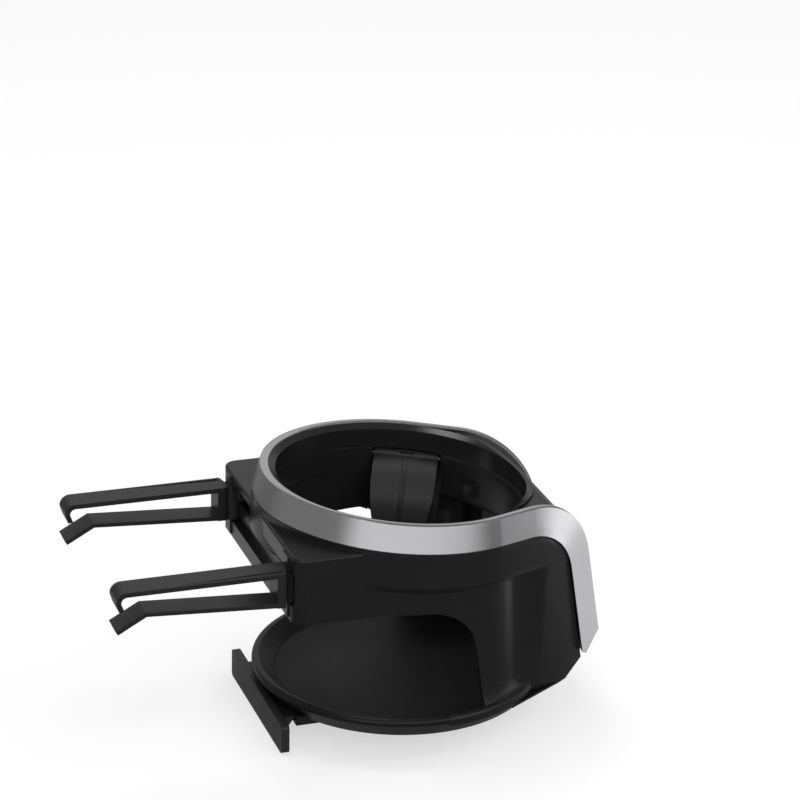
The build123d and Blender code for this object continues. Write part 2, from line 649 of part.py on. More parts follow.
def arm_outline():
    """Front view of an arm: a tongue that narrows to a rounded tip."""
    left = [(-w, h) for w, h in reversed(ARM_OUTLINE)]
    outline = make_face(joined(
        Spline(*ARM_OUTLINE),
        Line(ARM_OUTLINE[-1], left[0]),
        Spline(*left),
        Line(left[-1], ARM_OUTLINE[0]),
    ))
    outline = fillet(outline.vertices().group_by(Axis.Y)[0], ARM_TIP_R)
    return Plane.YZ * outline


def make_arm(angle):
    arm = extrude(arm_profile(), ARM_HALF_W, both=True) & extrude(arm_outline(), FAR)
    arm = arm - extrude(groove_profile(), ARM_GROOVE_W / 2, both=True)
    coil_r = SPRING_COIL_R + SPRING_WIRE_R + COIL_ROOM
    past = ARM_BARREL_R + OVER
    gap = box(
        (ARM_HINGE[0] - coil_r, ARM_HINGE[0] + past), (-SPRING_GAP_HALF, SPRING_GAP_HALF),
        (ARM_HINGE[1] - past, ARM_HINGE[1] + coil_r))
    bore = Pos(ARM_HINGE[0], 0, ARM_HINGE[1]) * Rot(90, 0, 0) * Cylinder(GRIP_PIN_R + RUNNING, 4 * ARM_HALF_W)
    return arm_place(angle) * (arm - gap - bore)


def make_grip_pin(angle):
    length = 2 * (ARM_HALF_W + ARM_SIDE_GAP + PIN_SEAT - PIN_END_GAP)
    hinge = Pos(ARM_HINGE[0], 0, ARM_HINGE[1]) * Rot(90, 0, 0)
    return arm_place(angle) * hinge * Cylinder(GRIP_PIN_R, length)


def make_spring(angle):
    """Torsion spring: a coil round the hinge pin with one leg to the wall behind and one to the arm."""
    height = SPRING_TURNS * 2 * (SPRING_WIRE_R + COIL_GAP)
    coil = Helix(height / SPRING_TURNS, height, SPRING_COIL_R)
    wire = sweep(Plane(origin=coil @ 0, z_dir=coil % 0) * Circle(SPRING_WIRE_R), path=coil)
    for end in (coil @ 0, coil @ 1):
        leg = extrude(Circle(SPRING_WIRE_R), SPRING_LEG)
        wire = wire + Pos(end.X, end.Y, end.Z) * Rot(-90, 0, 0) * leg
    hinge = Pos(ARM_HINGE[0], 0, ARM_HINGE[1]) * Rot(90, 0, 0)
    return arm_place(angle) * hinge * Pos(0, 0, -height / 2) * wire


# Tray

def make_tray():
    dish_face = make_face(joined(
        rim_curve(),
        Polyline(
            (FLANGE_R - TRAY_RIM_W, TRAY_RIM_Z), (TRAY_FLOOR_R, TRAY_FLOOR_Z), (0, TRAY_FLOOR_Z), (0, 0),
            (TRAY_FOOT_R, 0), (FLANGE_R, TRAY_SIDE_Z)),
    ))
    dish = revolve(Plane.XZ * dish_face, Axis.Z, 360)
    seat_z = BASE_Z - BASE_GAP
    ahead = box((-FAR, FAR), (-FAR, FLANGE_REAR_Y + FIT), (seat_z, FAR)) - cyl(SKIRT_IN_R - FIT, -FAR, FAR)
    corner = beside_ribbon(*TRAY_FRONT)
    shoulder = beside_ribbon(*TRAY_SHOULDER)
    outline = make_face(Polyline(
        shoulder, corner, (-corner[0], corner[1]), (-shoulder[0], shoulder[1]), close=True))
    plate = Pos(0, 0, TRAY_FRONT_Z) * extrude(outline, seat_z - TRAY_FRONT_Z)
    plate = fillet(plate.edges().filter_by(Axis.Z).group_by(Axis.Y)[0], TRAY_CORNER_R)
    plate = chamfer(plate.faces().sort_by(Axis.Z)[0].edges().group_by(Axis.Y)[0], TRAY_FRONT_EDGE)
    tray = (dish - ahead) + (plate - cyl(TRAY_FLOOR_R, TRAY_FLOOR_Z, FAR))
    slide_low = -SLIDE_T - 2 * SLIDE_GAP
    side_x = SLIDE_W / 2 + SLIDE_GAP
    sunk = SLIDE_GAP
    for side in (1, -1):
        web = sorted((side * side_x, side * (side_x + RAIL_W)))
        lip = sorted((side * (side_x - RAIL_LIP), side * (side_x + RAIL_W)))
        tray = tray + box(web, RAIL_Y, (slide_low, sunk))
        tray = tray + box(lip, RAIL_Y, (slide_low - RAIL_LIP_T, slide_low))
    tray = tray + cyl(PEG_R, slide_low, sunk, 0, PEG_Y)
    for x, y in screw_places().values():
        tray = tray - cyl(SCREW_R + FIT, -FAR, BASE_Z + OVER, x, y)
        tray = tray - cyl(SCREW_HEAD_R + FIT, -FAR, SCREW_Z + SCREW_HEAD_H, x, y)
    return tray


# Sliding foot

def make_foot():
    top = -SLIDE_GAP
    low = top - SLIDE_T
    sunk_y = FOOT_FRONT_Y + FOOT_T / 5
    plate = box((-FOOT_W / 2, FOOT_W / 2), (FOOT_FRONT_Y, FOOT_FRONT_Y + FOOT_T), (FOOT_LOW_Z, FOOT_TOP_Z))
    plate = fillet(plate.edges().filter_by(Axis.Y), FOOT_CORNER_R)
    slide = box((-SLIDE_W / 2, SLIDE_W / 2), (SLIDE_FRONT_Y, sunk_y), (low, top))
    slot_x = PEG_R + PEG_GAP
    slot_y = (PEG_Y - PEG_R - FOOT_TRAVEL - PEG_END_GAP, PEG_Y + PEG_R + PEG_END_GAP)
    slot = box((-slot_x, slot_x), slot_y, (low - OVER, top + OVER))
    slot = fillet(slot.edges().filter_by(Axis.Z), PEG_R)
    foot = plate + slide - slot
    rib_x = SLIDE_W / 2 - FOOT_RIB_HALF
    for x in (-rib_x, 0, rib_x):
        rib = Plane.YZ * make_face(Polyline(
            (FOOT_FRONT_Y - FOOT_RIB, low), (sunk_y, low), (sunk_y, FOOT_LOW_Z + FOOT_CORNER_R), close=True))
        foot = foot + Pos(x, 0, 0) * extrude(rib, FOOT_RIB_HALF, both=True)
    return foot


# Vent clips

def clip_profile():
    """Side view of a clip: level upper arm with a hook, sprung lower arm with a ramp, joined at the root."""
    t = CLIP_STRAP_T
    hook_y = CLIP_END_Y - CLIP_HOOK_R
    hook_z = CLIP_TOP_Z - CLIP_HOOK_R
    hook_tip = (CLIP_END_Y - CLIP_HOOK_LEAN, CLIP_TOP_Z - CLIP_HOOK_DROP)
    inner_r = CLIP_HOOK_R - t
    turn = CLIP_HOOK_R * 0.5 ** 0.5
    inner_turn = inner_r * 0.5 ** 0.5
    nose = (hook_tip[0] - t, hook_tip[1] + CLIP_HOOK_NOSE)
    bend_low = (hook_y + inner_r, hook_z)
    bend_top = (hook_y, hook_z + inner_r)
    outline = joined(
        Line((CLIP_ROOT_Y[0], CLIP_TOP_Z), (hook_y, CLIP_TOP_Z)),
        ThreePointArc((hook_y, CLIP_TOP_Z), (hook_y + turn, hook_z + turn), (CLIP_END_Y, hook_z)),
        Polyline((CLIP_END_Y, hook_z), hook_tip, nose, bend_low),
        ThreePointArc(bend_low, (hook_y + inner_turn, hook_z + inner_turn), bend_top),
        Polyline(
            bend_top,
            (CLIP_ROOT_Y[1], CLIP_TOP_Z - t),
            (CLIP_ROOT_Y[1], CLIP_LOW_Z + t),
            CLIP_KINK,
            CLIP_TIP,
            (CLIP_TIP[0] - CLIP_TIP_DROP[0], CLIP_TIP[1] - CLIP_TIP_DROP[1]),
            (CLIP_KINK[0] - CLIP_BEND[0], CLIP_KINK[1] - CLIP_BEND[1]),
            (CLIP_ROOT_Y[0], CLIP_LOW_Z),
            (CLIP_ROOT_Y[0], CLIP_TOP_Z),
        ),
    )
    return Plane.YZ * make_face(outline)


def clip_groove():
    """Tapering groove along the outer edge of the upper arm."""
    near, wide, length, depth = CLIP_GROOVE
    start = CLIP_ROOT_Y[0] + OVER
    plan = make_face(Polyline(
        (CLIP_X[1] - wide, start), (CLIP_X[1] - near, start), (CLIP_X[1] - near, start + length), close=True))
    return Pos(0, 0, CLIP_TOP_Z - depth) * extrude(plan, depth + OVER)


def make_clip(side):
    strap = Pos(CLIP_X[0], 0, 0) * extrude(clip_profile(), CLIP_X[1] - CLIP_X[0])
    web = make_face(Polyline(
        (PIVOT[0] - CLIP_WEB[0], PIVOT[1] + CLIP_WEB[1]), (PIVOT[0] + CLIP_WEB[0], PIVOT[1] + CLIP_WEB[1]),
        (CLIP_X[1], CLIP_ROOT_Y[0]), (CLIP_X[1], CLIP_ROOT_Y[1]), (CLIP_X[0], CLIP_ROOT_Y[1]),
        (CLIP_X[0], CLIP_ROOT_Y[0]), close=True))
    root = web + Pos(*PIVOT) * Circle(BARREL_R)
    clip = strap + Pos(0, 0, CLIP_LOW_Z) * extrude(root, CLIP_TOP_Z - CLIP_LOW_Z)
    clip = clip - clip_groove() - cyl(CLIP_PIN_R + RUNNING, 0, FAR, *PIVOT)
    return clip if side > 0 else mirror(clip, about=Plane.YZ)


def make_clip_pin(side):
    cap = CLIP_PIN_CAP + PIN_END_GAP
    return cyl(CLIP_PIN_R, KNUCKLE_LOW_Z + cap, KNUCKLE_TOP_Z - cap, side * PIVOT[0], PIVOT[1])


# Screws

def make_screw(x, y):
    shank = cyl(SCREW_R - SEATED, SCREW_Z, SCREW_Z + SCREW_LENGTH, x, y)
    head = cyl(SCREW_HEAD_R, SCREW_Z, SCREW_Z + SCREW_HEAD_H, x, y)
    half, thin, depth = SCREW_CROSS
    cross = box((-half, half), (-thin, thin), (-OVER, depth))
    cross = cross + box((-thin, thin), (-half, half), (-OVER, depth))
    return head + shank - Pos(x, y, SCREW_Z) * cross


def main():
    trim = make_trim()
    apron = make_apron(trim)
    panel = make_panel(trim)
    collar = make_collar()
    nodes = {
        "silver_trim": trim,
        "front_apron": apron,
        "front_panel": panel,
        "collar": collar,
        "housing": make_housing([trim, apron, panel, collar]),
        "tray": make_tray(),
        "support_foot": make_foot(),
    }
    for name, angle in ARM_ANGLES.items():
        nodes["grip_arm_" + name] = make_arm(angle)
        nodes["grip_pin_" + name] = make_grip_pin(angle)
        nodes["grip_spring_" + name] = make_spring(angle)
    for name, side in (("left", -1), ("right", 1)):
        nodes["vent_clip_" + name] = make_clip(side)
        nodes["clip_pin_" + name] = make_clip_pin(side)
    for name, (x, y) in screw_places().items():
        nodes["base_screw_" + name] = make_screw(x, y)
    os.makedirs("parts", exist_ok=True)
    to_origin = Pos(*HANG_POINT).inverse()
    for name, solid in nodes.items():
        export_step(to_origin * solid, os.path.join("parts", name + ".step"))


main()
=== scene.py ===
"""Looks of a vent cup holder: the finish of each solid, a pale floor, studio light and the camera."""
import math

import bmesh
import bpy
from mathutils import Matrix, Vector
from mathutils.bvhtree import BVHTree


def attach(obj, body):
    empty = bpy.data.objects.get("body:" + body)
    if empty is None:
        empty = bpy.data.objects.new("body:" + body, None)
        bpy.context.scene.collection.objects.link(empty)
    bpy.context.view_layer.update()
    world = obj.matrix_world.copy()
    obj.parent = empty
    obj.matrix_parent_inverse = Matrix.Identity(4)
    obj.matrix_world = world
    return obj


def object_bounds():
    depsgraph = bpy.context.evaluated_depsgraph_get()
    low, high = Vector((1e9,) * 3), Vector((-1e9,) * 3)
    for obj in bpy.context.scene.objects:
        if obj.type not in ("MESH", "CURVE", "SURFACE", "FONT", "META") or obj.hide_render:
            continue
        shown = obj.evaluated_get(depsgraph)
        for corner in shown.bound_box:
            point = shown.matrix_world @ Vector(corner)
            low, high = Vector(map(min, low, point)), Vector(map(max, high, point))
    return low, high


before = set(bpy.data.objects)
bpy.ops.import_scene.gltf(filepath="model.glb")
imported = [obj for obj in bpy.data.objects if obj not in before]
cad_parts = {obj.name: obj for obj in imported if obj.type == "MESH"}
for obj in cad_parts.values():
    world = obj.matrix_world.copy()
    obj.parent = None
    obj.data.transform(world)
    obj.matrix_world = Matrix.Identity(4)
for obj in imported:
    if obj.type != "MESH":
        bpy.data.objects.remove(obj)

CAD_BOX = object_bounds()
MM = 0.001

# Camera, in metres and degrees
CAMERA_PLACE = (-0.80275, 0.23030, 0.38068)
CAMERA_AZIMUTH = 250.79
CAMERA_ELEVATION = 21.78
CAMERA_ROLL = 1.32
CAMERA_LENS = 135.485
SENSOR = 36.0

# Stage
FLOOR_SIZE = 6.0
FLOOR_COLOUR = "#f4f4f4"
FLOOR_ROUGHNESS = 0.9
FLOOR_GAP = 0.2 * MM
FLOOR_GLOW = 0.6         # share of plain white in the floor that the camera sees; the rest keeps the shadow
BACKGROUND = "#ffffff"
WORLD_LIGHT = 0.75

# Lamps: name, azimuth, elevation, distance, width, height, watts
LAMPS = [
    ("side_box", 272.0, 30.0, 1.3, 0.90, 0.60, 4.0),
    ("top_box", 100.0, 74.0, 1.1, 0.50, 0.50, 4.0),
    ("front_box", 345.0, 35.0, 1.2, 0.60, 0.60, 3.0),
]

# Painted reflections: glowing greys that only reflections see, on a dome and on a sheet on the floor
DOME_R = 1.8
DOME_STEP = 4
DOME_LIGHT = 0.22
# The panels are painted reflections of soft boxes, the brightest one that of the top lamp
# Panels on the dome: azimuth, elevation, half width, half height and soft edge in degrees, light
PANELS = [
    (268.0, 16.0, 52.0, 24.0, 16.0, 0.72),
    (80.0, 25.0, 32.0, 15.0, 10.0, 0.33),
    (95.0, 73.0, 16.0, 7.0, 6.0, 5.6),
    (353.0, -2.0, 8.0, 8.0, 6.0, 0.80),
    (322.0, 24.0, 14.0, 14.0, 10.0, 0.50),
]
SHEET_HALF = 1.2
SHEET_STEP = 0.02
SHEET_LIGHT = 0.055
# The cards are painted reflections of lit patches of floor
# Cards on the floor: place of the middle, turn in degrees, half width, half length, soft edge, light
CARDS = [
    ((-0.002, -0.466), -24.2, 0.16, 0.36, 0.035, 0.72),
    ((-0.056, -0.585), -24.2, 0.16, 0.24, 0.06, 0.75),
    ((0.135, 0.08), 0.0, 0.085, 0.30, 0.05, 0.46),
    ((0.400, 0.08), 0.0, 0.18, 0.50, 0.05, 0.14),
    ((-0.060, 0.38), 0.0, 0.14, 0.22, 0.06, 0.28),
    ((0.0, -0.045), 0.0, 0.05, 0.05, 0.03, 0.22),
]

# Moulded plastics: darkest and lightest colour, least and most roughness, grain and its depth in mm, IOR
# Grain from a mould is 0.05 to 0.1 mm wide, drawn at 0.5 to 0.9 mm so that it shows
PLASTICS = {
    # Moulded ABS with a fine grain, which gives a soft sheen along the big forms
    "black_abs": ("#161616", "#1b1b1b", 0.26, 0.32, 0.8, 0.006, 1.46),
    # ABS from a polished mould, on which the soft boxes show as streaks round the ring
    "polished_black_abs": ("#191919", "#1d1d1d", 0.16, 0.22, 0.9, 0.002, 1.46),
    # ABS from a mould drawn with fine lines from front to rear, which catch the light as a soft haze
    "hairline_black_abs": ("#1c1c1c", "#262626", 0.36, 0.44, 0.5, 0.02, 1.46),
    # A clear gloss plate, backed in black, that mirrors the room with a slow swell of 6 mm
    "piano_black_acrylic": ("#060606", "#090909", 0.04, 0.07, 6.0, 0.0005, 1.49),
    # Moulded nylon, duller and paler than the ABS
    "charcoal_nylon": ("#232323", "#2b2b2b", 0.42, 0.50, 0.7, 0.012, 1.53),
    # Moulded acetal, with an even satin look
    "black_acetal": ("#1a1a1a", "#212121", 0.34, 0.42, 0.8, 0.008, 1.48),
}
EVEN_GRAIN = (1, 1, 1)
HAIRLINES = (1, 40, 40)      # the apron's grain is this much longer along Y and Z than across
CLOUD_MM = 18.0              # size of the drift in a plastic's colour and gloss
CLOUD_DETAIL = 3.0
GRAIN_DETAIL = 2.0
NOISE_ROUGHNESS = 0.6

# Silver: the blasting is about 0.05 mm wide, too fine to show, so it is drawn at 0.4 mm
SILVER_COLOURS = ("#c9c9cb", "#d1d1d3")
SILVER_SATIN = (0.22, 0.27)
SILVER_POLISH = 0.12
BLAST_MM = 0.4
BLAST_DEPTH_MM = 0.0015
SILVER_ROUND = 0.25 * MM
# Limits of the polished bead on the silver, as parts of a unit normal
BEAD_UP = 0.75
BEAD_FRONT = -0.2
BEAD_SIDE = 0.65
BEAD_LOW = -0.3

# Tray: the sparks leave pits of about 0.1 mm on its floor, drawn at 0.7 mm so that they show
TRAY_COLOURS = ("#101010", "#151515")
TRAY_RIM = (0.30, 0.36)
TRAY_MATTE = (0.52, 0.60)
TRAY_IOR = 1.4
TRAY_CLOUD_MM = 14.0
PIT_MM = 0.7
PIT_DEPTH_MM = 0.05
TRAY_FLOOR_Z = -48.4 * MM    # the matte floor ends just above this height
TRAY_FLOOR_UP = 0.7          # and where its normal leans further than this

# Steel: the die's marks are about 0.02 mm wide, drawn at 0.4 mm so that they show
STEEL_COLOURS = ("#8d8d90", "#b4b4b7")
STEEL_ROUGHNESS = (0.28, 0.40)
DIE_MM = 0.4
DIE_DEPTH_MM = 0.004
STEEL_ROUND = 0.1 * MM

# Round along the edges of a moulding, and the wider one of the valley between skirt and pillar
EDGE_ROUND = 0.35 * MM
ROUND_SAMPLES = 6
VALLEY_ROUND = 3.0 * MM
VALLEY_Y = -80.0 * MM
VALLEY_HALF = (8.0 * MM, 13.0 * MM)      # it is fully soft within the first, and ends at the second

# Rear edge of the ribbon, which closes the groove between its band and the pillar
# It is found by looking outwards from a point in the pillar, from straight up round to the leg's foot
SCAN_Y = -70.0 * MM
SCAN_Z = -14.0 * MM
SCAN_ANGLES = (0.0, 138.0)
SCAN_COUNT = 138
SCAN_REACH = (12.0 * MM, 60.0 * MM)
SCAN_STEP = 0.1 * MM
GROOVE_DEPTH = 0.6 * MM      # a drop of the pillar by this much in one step is the groove
EDGE_LAP = 4.5 * MM          # how far the edge lies within the band
BAND_FACE = 2.0 * MM         # the band's outer face starts this far in from its rear rim
EDGE_SLIT = 0.25 * MM        # fine line left beside the pillar
EDGE_T = 1.3 * MM            # thickness of the edge
EDGE_SINK = 0.06 * MM        # the edge starts this far below the band's face
EDGE_RISE = 0.10 * MM        # and ends this far above it, so that no seam shows
BAND_SAMPLE = 1.5 * MM       # length over which the band's slope is read
EDGE_EVEN = 5                # sections on each side that a section is averaged with


def linear(hex_colour):
    """An sRGB hex colour as linear red, green, blue and alpha."""
    parts = [int(hex_colour[i:i + 2], 16) / 255 for i in (1, 3, 5)]
    return [p / 12.92 if p <= 0.04045 else ((p + 0.055) / 1.055) ** 2.4 for p in parts] + [1.0]


def add(tree, kind, inputs=None, **settings):
    """Adds a node with its settings. Each input is a value, a socket, or a node to link from."""
    node = tree.nodes.new(kind)
    for key, value in settings.items():
        setattr(node, key, value)
    for key, value in (inputs or {}).items():
        if isinstance(value, bpy.types.Node):
            value = next(output for output in value.outputs if output.enabled)
        if isinstance(value, bpy.types.NodeSocket):
            tree.links.new(value, node.inputs[key])
        else:
            node.inputs[key].default_value = value
    return node


def new_material(name):
    """A material, and its empty node tree."""
    material = bpy.data.materials.new(name)
    material.use_nodes = True
    material.node_tree.nodes.clear()
    return material, material.node_tree


def pattern(tree, size_mm, detail=GRAIN_DETAIL, stretch=EVEN_GRAIN):
    """A noise whose lumps are about size_mm across, drawn out along an axis by a stretch over 1."""
    place = add(tree, "ShaderNodeTexCoord").outputs["Object"]
    scaled = add(tree, "ShaderNodeMapping", {
        "Vector": place, "Scale": [1 / (size_mm * MM * s) for s in stretch]})
    return add(tree, "ShaderNodeTexNoise", {
        "Vector": scaled, "Scale": 1.0, "Detail": detail, "Roughness": NOISE_ROUGHNESS})


def relief(tree, height, depth_mm, edge=EDGE_ROUND):
    """The normal of a surface with a fine relief, and a soft round along its sharp edges."""
    rounded = add(tree, "ShaderNodeBevel", {"Radius": edge}, samples=ROUND_SAMPLES)
    return add(tree, "ShaderNodeBump", {
        "Height": height, "Distance": depth_mm * MM, "Strength": 1.0, "Normal": rounded})


def valley_round(tree):
    """The round along edges, wider where the skirt flows into the pillar."""
    place = add(tree, "ShaderNodeTexCoord").outputs["Object"]
    along = add(tree, "ShaderNodeSeparateXYZ", {"Vector": place}).outputs["Y"]
    offset = add(tree, "ShaderNodeMath", {0: along, 1: VALLEY_Y}, operation="SUBTRACT")
    aside = add(tree, "ShaderNodeMath", {0: offset}, operation="ABSOLUTE")
    return add(tree, "ShaderNodeMapRange", {
        "Value": aside, "From Min": VALLEY_HALF[0], "From Max": VALLEY_HALF[1],
        "To Min": VALLEY_ROUND, "To Max": EDGE_ROUND}, interpolation_type="SMOOTHSTEP")


def moulded_plastic(name, stretch=EVEN_GRAIN, valley=False):
    """Moulded plastic: a fine grain from the mould, with colour and gloss that drift a little."""
    dark, light, smooth, rough, grain_mm, depth_mm, ior = PLASTICS[name]
    material, tree = new_material(name)
    cloud = pattern(tree, CLOUD_MM, CLOUD_DETAIL)
    colour = add(tree, "ShaderNodeMix", {
        "Factor": cloud, "A": linear(dark), "B": linear(light)}, data_type="RGBA")
    gloss = add(tree, "ShaderNodeMapRange", {"Value": cloud, "To Min": smooth, "To Max": rough})
    grain = pattern(tree, grain_mm, stretch=stretch)
    edge = valley_round(tree) if valley else EDGE_ROUND
    shader = add(tree, "ShaderNodeBsdfPrincipled", {
        "Base Color": colour, "Roughness": gloss, "IOR": ior,
        "Normal": relief(tree, grain, depth_mm, edge)})
    add(tree, "ShaderNodeOutputMaterial", {"Surface": shader})
    return material


def satin_silver():
    """ABS plated in satin chrome: a soft sheen from fine blasting, with its edge bead polished bright."""
    material, tree = new_material("satin_chrome_plate")
    normal = add(tree, "ShaderNodeNewGeometry").outputs["Normal"]
    part = add(tree, "ShaderNodeSeparateXYZ", {"Vector": normal}).outputs
    side = add(tree, "ShaderNodeMath", {0: part["X"]}, operation="ABSOLUTE")
    front = add(tree, "ShaderNodeMath", {0: part["Y"], 1: BEAD_FRONT}, operation="LESS_THAN")
    ahead = add(tree, "ShaderNodeMath", {0: side, 1: BEAD_SIDE}, operation="LESS_THAN")
    raised = add(tree, "ShaderNodeMath", {0: part["Z"], 1: BEAD_LOW}, operation="GREATER_THAN")
    top = add(tree, "ShaderNodeMath", {0: part["Z"], 1: BEAD_UP}, operation="GREATER_THAN")
    facing = add(tree, "ShaderNodeMath", {0: front, 1: ahead}, operation="MULTIPLY")
    facing = add(tree, "ShaderNodeMath", {0: facing, 1: raised}, operation="MULTIPLY")
    bead = add(tree, "ShaderNodeMath", {0: facing, 1: top}, operation="MAXIMUM")
    blast = pattern(tree, BLAST_MM)
    dark, light = SILVER_COLOURS
    colour = add(tree, "ShaderNodeMix", {
        "Factor": blast, "A": linear(dark), "B": linear(light)}, data_type="RGBA")
    satin = add(tree, "ShaderNodeMapRange", {
        "Value": blast, "To Min": SILVER_SATIN[0], "To Max": SILVER_SATIN[1]})
    gloss = add(tree, "ShaderNodeMapRange", {"Value": bead, "To Min": satin, "To Max": SILVER_POLISH})
    shader = add(tree, "ShaderNodeBsdfPrincipled", {
        "Base Color": colour, "Metallic": 1.0, "Roughness": gloss,
        "Normal": relief(tree, blast, BLAST_DEPTH_MM, SILVER_ROUND)})
    add(tree, "ShaderNodeOutputMaterial", {"Surface": shader})
    return material


def dished_tray():
    """Moulded ABS with a spark-eroded matte floor, which a cup's foot scuffs, and a smoother rim."""
    material, tree = new_material("spark_grained_abs")
    place = add(tree, "ShaderNodeTexCoord").outputs["Object"]
    height = add(tree, "ShaderNodeSeparateXYZ", {"Vector": place}).outputs["Z"]
    normal = add(tree, "ShaderNodeNewGeometry").outputs["Normal"]
    upward = add(tree, "ShaderNodeSeparateXYZ", {"Vector": normal}).outputs["Z"]
    low = add(tree, "ShaderNodeMath", {0: height, 1: TRAY_FLOOR_Z}, operation="LESS_THAN")
    level = add(tree, "ShaderNodeMath", {0: upward, 1: TRAY_FLOOR_UP}, operation="GREATER_THAN")
    floor = add(tree, "ShaderNodeMath", {0: low, 1: level}, operation="MULTIPLY")
    cloud = pattern(tree, TRAY_CLOUD_MM, CLOUD_DETAIL)
    dark, light = TRAY_COLOURS
    colour = add(tree, "ShaderNodeMix", {
        "Factor": cloud, "A": linear(dark), "B": linear(light)}, data_type="RGBA")
    rim = add(tree, "ShaderNodeMapRange", {
        "Value": cloud, "To Min": TRAY_RIM[0], "To Max": TRAY_RIM[1]})
    matte = add(tree, "ShaderNodeMapRange", {
        "Value": cloud, "To Min": TRAY_MATTE[0], "To Max": TRAY_MATTE[1]})
    gloss = add(tree, "ShaderNodeMapRange", {"Value": floor, "To Min": rim, "To Max": matte})
    pits = add(tree, "ShaderNodeMath", {0: pattern(tree, PIT_MM), 1: floor}, operation="MULTIPLY")
    shader = add(tree, "ShaderNodeBsdfPrincipled", {
        "Base Color": colour, "Roughness": gloss, "IOR": TRAY_IOR,
        "Normal": relief(tree, pits, PIT_DEPTH_MM)})
    add(tree, "ShaderNodeOutputMaterial", {"Surface": shader})
    return material


def steel():
    """Drawn spring steel, with faint marks from the die that dull its shine."""
    material, tree = new_material("spring_steel")
    marks = pattern(tree, DIE_MM)
    dark, light = STEEL_COLOURS
    colour = add(tree, "ShaderNodeMix", {
        "Factor": marks, "A": linear(dark), "B": linear(light)}, data_type="RGBA")
    gloss = add(tree, "ShaderNodeMapRange", {
        "Value": marks, "To Min": STEEL_ROUGHNESS[0], "To Max": STEEL_ROUGHNESS[1]})
    shader = add(tree, "ShaderNodeBsdfPrincipled", {
        "Base Color": colour, "Metallic": 1.0, "Roughness": gloss,
        "Normal": relief(tree, marks, DIE_DEPTH_MM, STEEL_ROUND)})
    add(tree, "ShaderNodeOutputMaterial", {"Surface": shader})
    return material


def finish_nodes():
    """Gives each solid its finish, and returns the silver, which the ribbon's rear edges take too."""
    silver = satin_silver()
    clip = moulded_plastic("black_acetal")
    grip = moulded_plastic("charcoal_nylon")
    wire = steel()
    finishes = {
        "silver_trim": silver,
        "front_apron": moulded_plastic("hairline_black_abs", HAIRLINES),
        "front_panel": moulded_plastic("piano_black_acrylic"),
        "housing": moulded_plastic("black_abs", valley=True),
        "collar": moulded_plastic("polished_black_abs"),
        "tray": dished_tray(),
        "support_foot": clip,
    }
    for name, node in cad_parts.items():
        if name in finishes:
            finish = finishes[name]
        elif name.startswith("grip_arm"):
            finish = grip
        elif name.startswith("vent_clip"):
            finish = clip
        else:
            finish = wire
        node.data.materials.clear()
        node.data.materials.append(finish)
    return silver


def side_depth(name):
    """A function that tells how far a piece reaches out on its left, at a place in the side view."""
    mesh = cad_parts[name].data
    points = [v.co for v in mesh.vertices]
    tree = BVHTree.FromPolygons(points, [tuple(p.vertices) for p in mesh.polygons])

    def depth(y, z):
        hit = tree.ray_cast(Vector((2 * CAD_BOX[0].x, y, z)), Vector((1, 0, 0)))[0]
        return 0.0 if hit is None else -hit.x

    return depth


def groove(band, pillar, at):
    """Where the pillar's face ends and where the band starts, looking outwards, or None without a band."""
    reach = wall = SCAN_REACH[0]
    held = pillar(*at(reach))
    while band(*at(reach)) <= pillar(*at(reach)):
        reach += SCAN_STEP
        if reach > SCAN_REACH[1]:
            return None
        now = pillar(*at(reach))
        if now > held - GROOVE_DEPTH:
            held = now
            wall = reach
    return wall, reach


def edge_sections(band, pillar):
    """Sections of the ribbon's rear edge, each of four corners, from the roll's top to the leg's foot."""
    sections = []
    span = SCAN_ANGLES[1] - SCAN_ANGLES[0]
    slope = 0.0
    for n in range(SCAN_COUNT + 1):
        angle = math.radians(SCAN_ANGLES[0] + span * n / SCAN_COUNT)

        def at(reach):
            return SCAN_Y - math.sin(angle) * reach, SCAN_Z + math.cos(angle) * reach

        found = groove(band, pillar, at)
        if found is None:
            continue
        wall, rim = found
        start = rim + EDGE_LAP
        while band(*at(start)) == 0.0:
            start -= SCAN_STEP
        end = min(wall + EDGE_SLIT, rim)
        if start - rim > BAND_FACE:
            out = band(*at(start))
            further = band(*at(start + BAND_SAMPLE))
            if further > 0.0:
                slope = (further - out) / BAND_SAMPLE
            out_end = out - slope * (start - end) + EDGE_RISE
            out -= EDGE_SINK
        else:
            # Past the leg's cut the edge runs straight on
            out, out_end = (2 * sections[-1][i][0] - sections[-2][i][0] for i in (0, 1))
        sections.append([(out, *at(start)), (out_end, *at(end)), (out_end - EDGE_T, *at(end)),
                         (out - EDGE_T, *at(start))])
    return [evened(sections, n) for n in range(len(sections))]


def evened(sections, n):
    """One section, averaged with its neighbours so that the scan's steps don't show."""
    near = min(EDGE_EVEN, n, len(sections) - 1 - n)
    group = sections[n - near:n + near + 1]
    return [[sum(s[i][k] for s in group) / len(group) for k in range(3)] for i in range(4)]


def build_ribbon_edges(silver):
    """Rear edges of the ribbon's legs, which carry its band on to the pillar."""
    sections = edge_sections(side_depth("silver_trim"), side_depth("housing"))
    for name, side in (("ribbon_edge_left", -1), ("ribbon_edge_right", 1)):
        mesh = bmesh.new()
        rings = [[mesh.verts.new((side * x, y, z)) for x, y, z in section] for section in sections]
        for one, two in zip(rings, rings[1:]):
            for i in range(4):
                mesh.faces.new((one[i], one[i - 1], two[i - 1], two[i]))
        mesh.faces.new(rings[0])
        mesh.faces.new(rings[-1])
        bmesh.ops.recalc_face_normals(mesh, faces=mesh.faces)
        data = bpy.data.meshes.new(name)
        mesh.to_mesh(data)
        mesh.free()
        data.materials.append(silver)
        piece = bpy.data.objects.new(name, data)
        bpy.context.scene.collection.objects.link(piece)
        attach(piece, "holder")


